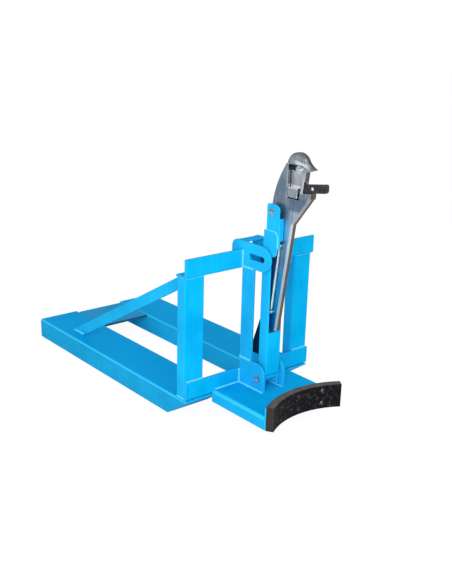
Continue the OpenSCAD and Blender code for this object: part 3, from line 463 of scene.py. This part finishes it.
WORN_PIN = plate_steel("worn_pin", (0.46, 0.52, 0.58, 1), (0.74, 0.80, 0.86, 1), (0.90, 0.92, 0.94, 1),
                       0.40, (1.0, 1.0, 1.0), 420.0)
SMEARED = smeared_bolt("smeared_bolt")
BLACKED = blacked_steel("blacked_jaw")
RUBBER = pad_rubber("pad_rubber")

FINISH_OF_SLOT = {"blue_paint": BLUE, "dark_paint": SHADE_ENAMEL, "arm_steel": FORGED, "link_steel": BRIGHT,
                  "zinc": ZINC, "rubber": RUBBER, "black_jaw": BLACKED}
# Nodes whose slot is shared but whose photographed finish differs
FINISH_OF_NODE = {"pad_bolts": DULLED, "arm_pin": SMEARED, "mast_pivot_bolt": SMEARED,
                  "mast_pivot_washers": SMEARED, "head_back_plate": SCALED, "jaw_carrier": BRIGHT,
                  "jaw_pin": WORN_PIN, "jaw_pin_clip": WORN_PIN, "rear_tie_plate": GREYED_SHADED,
                  "left_fork_pocket": SHADED_SIDE, "stop_pins": SHADE_ENAMEL, "belly_box": LESS_TOP_SHADE}


def dress_cad_nodes():
    for part in frame["record"]["subparts"]:
        mesh = frame["nodes"][part["node"]].data
        mesh.materials.clear()
        mesh.materials.append(FINISH_OF_NODE.get(part["node"], FINISH_OF_SLOT[part["material_slot"]]))


dress_cad_nodes()


# Geometry node trees
def weld_tree():
    """A ripple of laid metal that follows each drawn line."""
    tree, given, out = new_group(
        "weld_run", "GeometryNodeTree",
        [("Lines", "NodeSocketGeometry", None), ("Bead Radius", "NodeSocketFloat", 0.003),
         ("Ripple Pitch", "NodeSocketFloat", 0.004), ("Ripple Depth", "NodeSocketFloat", 0.22),
         ("Seed", "NodeSocketInt", 4), ("Finish", "NodeSocketMaterial", None)],
        [("Beads", "NodeSocketGeometry")])
    curve = add_node(tree, "GeometryNodeMeshToCurve")
    even = add_node(tree, "GeometryNodeResampleCurve", mode="LENGTH")
    wire(tree, given["Lines"], curve.inputs["Mesh"])
    wire(tree, curve.outputs[0], even.inputs["Curve"])
    wire(tree, maths(tree, "DIVIDE", given["Ripple Pitch"], 4.0), even.inputs["Length"])
    count = add_node(tree, "GeometryNodeInputIndex").outputs[0]
    wave = maths(tree, "SINE", maths(tree, "MULTIPLY", count, math.pi / 2))
    jitter = add_node(tree, "FunctionNodeRandomValue", data_type="FLOAT")
    wire(tree, given["Seed"], jitter.inputs["Seed"])
    jitter.inputs[2].default_value = -0.10
    jitter.inputs[3].default_value = 0.10
    rippled = maths(tree, "MULTIPLY_ADD", wave, given["Ripple Depth"], 1.0)
    swell = maths(tree, "ADD", rippled, jitter.outputs[1])
    sized = add_node(tree, "GeometryNodeSetCurveRadius")
    wire(tree, even.outputs[0], sized.inputs["Curve"])
    wire(tree, swell, sized.inputs["Radius"])
    profile = add_node(tree, "GeometryNodeCurvePrimitiveCircle")
    profile.inputs["Resolution"].default_value = 8
    wire(tree, given["Bead Radius"], profile.inputs["Radius"])
    return sweep_to_end(tree, sized.outputs[0], profile.outputs[0], swell, given["Finish"], out["Beads"])


def wire_tree():
    """Round wire along a drawn line."""
    tree, given, out = new_group(
        "drawn_wire", "GeometryNodeTree",
        [("Line", "NodeSocketGeometry", None), ("Wire Radius", "NodeSocketFloat", 0.001),
         ("Finish", "NodeSocketMaterial", None)],
        [("Wire", "NodeSocketGeometry")])
    curve = add_node(tree, "GeometryNodeMeshToCurve")
    wire(tree, given["Line"], curve.inputs["Mesh"])
    profile = add_node(tree, "GeometryNodeCurvePrimitiveCircle")
    profile.inputs["Resolution"].default_value = 10
    wire(tree, given["Wire Radius"], profile.inputs["Radius"])
    return sweep_to_end(tree, curve.outputs[0], profile.outputs[0], 1.0, given["Finish"], out["Wire"])


def sweep_to_end(tree, path, profile, scale, finish, end):
    """Sweeps the profile along the path, and ends the tree with realized, smooth, finished geometry."""
    swept = add_node(tree, "GeometryNodeCurveToMesh")
    wire(tree, path, swept.inputs["Curve"])
    wire(tree, profile, swept.inputs["Profile Curve"])
    swept.inputs["Fill Caps"].default_value = True
    if "Scale" in swept.inputs:
        feed(tree, swept.inputs["Scale"], scale)
    smooth = add_node(tree, "GeometryNodeSetShadeSmooth")
    real = add_node(tree, "GeometryNodeRealizeInstances")
    finished = add_node(tree, "GeometryNodeSetMaterial")
    wire(tree, swept.outputs[0], smooth.inputs["Geometry"])
    wire(tree, smooth.outputs[0], real.inputs[0])
    wire(tree, real.outputs[0], finished.inputs["Geometry"])
    wire(tree, finish, finished.inputs["Material"])
    wire(tree, finished.outputs[0], end)
    return tree


WELD = weld_tree()
WIRE = wire_tree()


def grown(name, lines, tree, **values):
    """A plain mesh object from a tree run on polylines, each a list of points in metres."""
    points, edges = [], []
    for line in lines:
        first = len(points)
        points += [tuple(p) for p in line]
        edges += [(first + i, first + i + 1) for i in range(len(line) - 1)]
    drawn = bpy.data.meshes.new(name + "_lines")
    drawn.from_pydata(points, edges, [])
    seedling = bpy.data.objects.new(name + "_lines", drawn)
    bpy.context.collection.objects.link(seedling)
    modifier = seedling.modifiers.new("grow", "NODES")
    modifier.node_group = tree
    for item in tree.interface.items_tree:
        if item.in_out == "INPUT" and item.name.replace(" ", "_") in values:
            modifier[item.identifier] = values[item.name.replace(" ", "_")]
    graph = bpy.context.evaluated_depsgraph_get()
    mesh = bpy.data.meshes.new_from_object(seedling.evaluated_get(graph), depsgraph=graph)
    mesh.name = name
    bpy.data.objects.remove(seedling)
    piece = bpy.data.objects.new(name, mesh)
    bpy.context.collection.objects.link(piece)
    return piece


# Welds: places across from the middle, in depth and in height, in millimetres
POCKET_IN, POCKET_OUT, POCKET_TOP, POCKET_BEND = 107.5, 282.5, 76, 7
POST_W, POST_FRONT, POST_REAR, TUBE_BEND, POST_SINK = 80, 8, 52, 6, 1.2
POST_LOW, POST_TOP, LEG_TOP, BOX_TOP, BRACKET_TOP, LUG_LOW, LUG_TOP = 84, 501, 141, 89, 186, 509, 566
PLATE_IN, PLATE_OUT, PLATE_REAR, BRACKET_FRONT, RIB_FRONT = 41, 49, -1, -122, -56
LEG_INSET, BOX_RUN_IN, BOX_RUN_OUT, RUN_GAP = 6, 53, 156, 2
BRACE_SIDES, BRACE_FOOT, BRACE_HEAD = (-231, -223), (738, 808), (467, 508)
DRUM_DEPTH, SADDLE_BACK_R, SADDLE_SWEEP, SADDLE_STEPS = -540, 324, 29, 20
MAST_OUT, CHEEK_OUT, CHEEK_LOW = 32, 36, 565
FOOT_RUN_REAR, FOOT_RUN_FRONT, FOOT_RUN_TOP = -86, -112, 566
MAST_REAR, HEEL_SIDE, HEEL_LOW, HEEL_TOP = -74, 5, 198, 399
CHEEK_FRONT, CHEEK_TOP, CHEEK_ROUND = -146, 649, 20.7
CHEEK_RUN_X, CHEEK_RUN_REAR, CHEEK_RUN_LOW = 33, -92, 598


def ring(x0, x1, depth0, depth1, bend, z):
    """A closed run round a tube of rounded section."""
    points = []
    for x, depth, start in ((x1 - bend, depth1 - bend, 0), (x0 + bend, depth1 - bend, 90),
                            (x0 + bend, depth0 + bend, 180), (x1 - bend, depth0 + bend, 270)):
        for step in range(7):
            a = math.radians(start + 15 * step)
            points.append(at(x + bend * math.cos(a), depth + bend * math.sin(a), z))
    return points + points[:1]


def inner_weld_lines():
    """Runs between the two plates, beside the mast."""
    lines = []
    for s in (-1, 1):
        lines += plate_weld_lines(s, PLATE_IN)
    return lines


def plate_weld_lines(s, x):
    """A bracket on the belly box and the beam, and a rib on the bracket and under the lug."""
    return [[at(s * x, BRACKET_FRONT, BOX_TOP), at(s * x, PLATE_REAR, BOX_TOP)],
            [at(s * x, RIB_FRONT, BRACKET_TOP), at(s * x, PLATE_REAR, BRACKET_TOP)],
            [at(s * x, RIB_FRONT, LUG_LOW), at(s * x, PLATE_REAR, LUG_LOW)],
            [at(s * x, 0, BOX_TOP + RUN_GAP), at(s * x, 0, LEG_TOP)],
            [at(s * x, 0, LUG_LOW + RUN_GAP), at(s * x, 0, LUG_TOP)]]


def post_weld_lines():
    """Runs round the posts' ends, part sunk in the walls."""
    lines = []
    for s in (-1, 1):
        post = sorted((s * (POCKET_OUT - POST_SINK), s * (POCKET_OUT - POST_W + POST_SINK)))
        for z in (POST_LOW, POST_TOP):
            lines.append(ring(*post, POST_FRONT + POST_SINK, POST_REAR - POST_SINK, TUBE_BEND, z))
    return lines


def outer_weld_lines():
    """Runs on the outsides of the frame."""
    lines = []
    for s in (-1, 1):
        # the upright leg's top across the post, and the flat leg on the pockets
        lines.append([at(s * (POCKET_OUT - LEG_INSET), POST_FRONT, LEG_TOP),
                      at(s * (POCKET_OUT - POST_W + LEG_INSET), POST_FRONT, LEG_TOP)])
        lines.append([at(s * (POCKET_IN + POCKET_BEND), POST_REAR, POCKET_TOP),
                      at(s * (POCKET_OUT - POCKET_BEND), POST_REAR, POCKET_TOP)])
        lines += plate_weld_lines(s, PLATE_OUT)
        lines.append([at(s * BOX_RUN_IN, 0, BOX_TOP), at(s * BOX_RUN_OUT, 0, BOX_TOP)])
    # the brace's foot and head
    for x in BRACE_SIDES:
        lines.append([at(x, depth, POCKET_TOP) for depth in BRACE_FOOT])
        lines.append([at(x, POST_REAR, z) for z in BRACE_HEAD])
    # the saddle plate's foot on the belly box
    turns = [math.radians(SADDLE_SWEEP * i / SADDLE_STEPS) for i in range(-SADDLE_STEPS, SADDLE_STEPS + 1)]
    lines.append([at(SADDLE_BACK_R * math.sin(a), DRUM_DEPTH + SADDLE_BACK_R * math.cos(a), BOX_TOP)
                  for a in turns])
    return lines


def mast_weld_lines():
    """Runs under the cheeks' feet and down the heel web."""
    lines = []
    for s in (-1, 1):
        lines.append([at(s * CHEEK_OUT, FOOT_RUN_REAR, FOOT_RUN_TOP),
                      at(s * MAST_OUT, FOOT_RUN_REAR, FOOT_RUN_TOP),
                      at(s * MAST_OUT, FOOT_RUN_FRONT, CHEEK_LOW)])
        lines.append([at(s * HEEL_SIDE, MAST_REAR, z) for z in (HEEL_LOW, HEEL_TOP)])
    return lines


def cheek_weld_lines():
    """Runs along the cheeks' tops and rounded fronts, on the clevis."""
    lines = []
    for x in (-CHEEK_RUN_X, CHEEK_RUN_X):
        corner = [at(x, CHEEK_FRONT + CHEEK_ROUND * (1 - math.sin(a)),
                     CHEEK_TOP - CHEEK_ROUND * (1 - math.cos(a)))
                  for a in (math.radians(15 * i) for i in range(7))]
        lines.append([at(x, CHEEK_RUN_REAR, CHEEK_TOP)] + corner + [at(x, CHEEK_FRONT, CHEEK_RUN_LOW)])
    return lines


for name, body, lines, radius, seed in (
        ("frame_welds", "frame", outer_weld_lines(), 0.0043, 4),
        ("post_welds", "frame", post_weld_lines(), 0.0030, 6),
        ("plate_welds", "frame", inner_weld_lines(), 0.0030, 5),
        ("mast_welds", "mast", mast_weld_lines(), 0.0024, 7),
        ("cheek_welds", "mast", cheek_weld_lines(), 0.0030, 8)):
    beads = grown(name, lines, WELD, Bead_Radius=radius, Ripple_Pitch=0.0045, Seed=seed, Finish=LIT_BEAD)
    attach(beads, body)


# The return spring, wound finer than the solid that it replaces
SPRING_TOP, SPRING_END = at(-18.5, -141, 603), at(-18.5, -113.63, 373)
WIRE_R, COIL_R, LOOP_R, TURNS, STEPS = 0.0009, 0.0041, 0.00565, 66, 14


def spring_line():
    run = SPRING_END - SPRING_TOP
    along = run.normalized()
    across = Vector((1, 0, 0))
    side = along.cross(across)
    start = LOOP_R + 0.006
    length = run.length - 2 * start

    def loop(centre, degrees, way):
        a = math.radians(degrees)
        return centre + LOOP_R * (math.cos(a) * way * along + math.sin(a) * side)

    points = [loop(SPRING_TOP, a, 1) for a in range(-20, -331, -10)]
    for i in range(TURNS * STEPS + 1):
        a = math.tau * i / STEPS
        points.append(SPRING_TOP + (start + length * i / (TURNS * STEPS)) * along
                      + COIL_R * (math.cos(a) * side + math.sin(a) * across))
    return points + [loop(SPRING_END, a, -1) for a in range(330, 19, -10)]


spring = grown("spring_wire", [spring_line()], WIRE, Wire_Radius=WIRE_R, Finish=COIL)
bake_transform(spring)
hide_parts("return_spring")


# Floor, backdrop and light
def floor_and_light():
    bpy.ops.mesh.primitive_plane_add(size=40)
    floor = bpy.context.object
    floor.name = "studio_floor"
    material = bpy.data.materials.new("studio_white")
    material.use_nodes = True
    tree = material.node_tree
    shader = tree.nodes["Principled BSDF"]
    shader.inputs["Base Color"].default_value = (0.86, 0.86, 0.86, 1)
    shader.inputs["Roughness"].default_value = 0.9
    glow = add_node(tree, "ShaderNodeEmission")
    path = add_node(tree, "ShaderNodeLightPath")
    seen = path.outputs["Is Camera Ray"]
    glow.inputs["Strength"].default_value = 1.06
    mix = add_node(tree, "ShaderNodeMixShader")
    feed(tree, mix.inputs[0], maths(tree, "MULTIPLY", seen, 0.88))
    wire(tree, shader.outputs[0], mix.inputs[1])
    wire(tree, glow.outputs[0], mix.inputs[2])
    wire(tree, mix.outputs[0], tree.nodes["Material Output"].inputs[0])
    floor.data.materials.append(material)

    world = bpy.context.scene.world or bpy.data.worlds.new("studio")
    bpy.context.scene.world = world
    world.use_nodes = True
    tree = world.node_tree
    sky = tree.nodes["Background"]
    sky.inputs["Color"].default_value = (1, 1, 1, 1)
    path = add_node(tree, "ShaderNodeLightPath")
    wire(tree, span(tree, path.outputs["Is Camera Ray"], 0, 1, 0.70, 1.0), sky.inputs["Strength"])

    for name, place, aim, size, power in (
            ("key", (-5.0, -4.8, 3.1), (0, -0.3, 0.4), 3.2, 245),
            ("fill", (2.4, -3.0, 1.8), (0, -0.3, 0.4), 2.0, 14),
            ("front", (-1.9, -2.5, 1.5), (0, -0.3, 0.4), 2.4, 28)):
        data = bpy.data.lights.new(name, "AREA")
        data.size = size
        data.energy = power
        lamp = bpy.data.objects.new(name, data)
        lamp.matrix_world = Matrix.Translation(place) @ (
            Vector(place) - Vector(aim)).to_track_quat("Z", "Y").to_matrix().to_4x4()
        bpy.context.collection.objects.link(lamp)


floor_and_light()
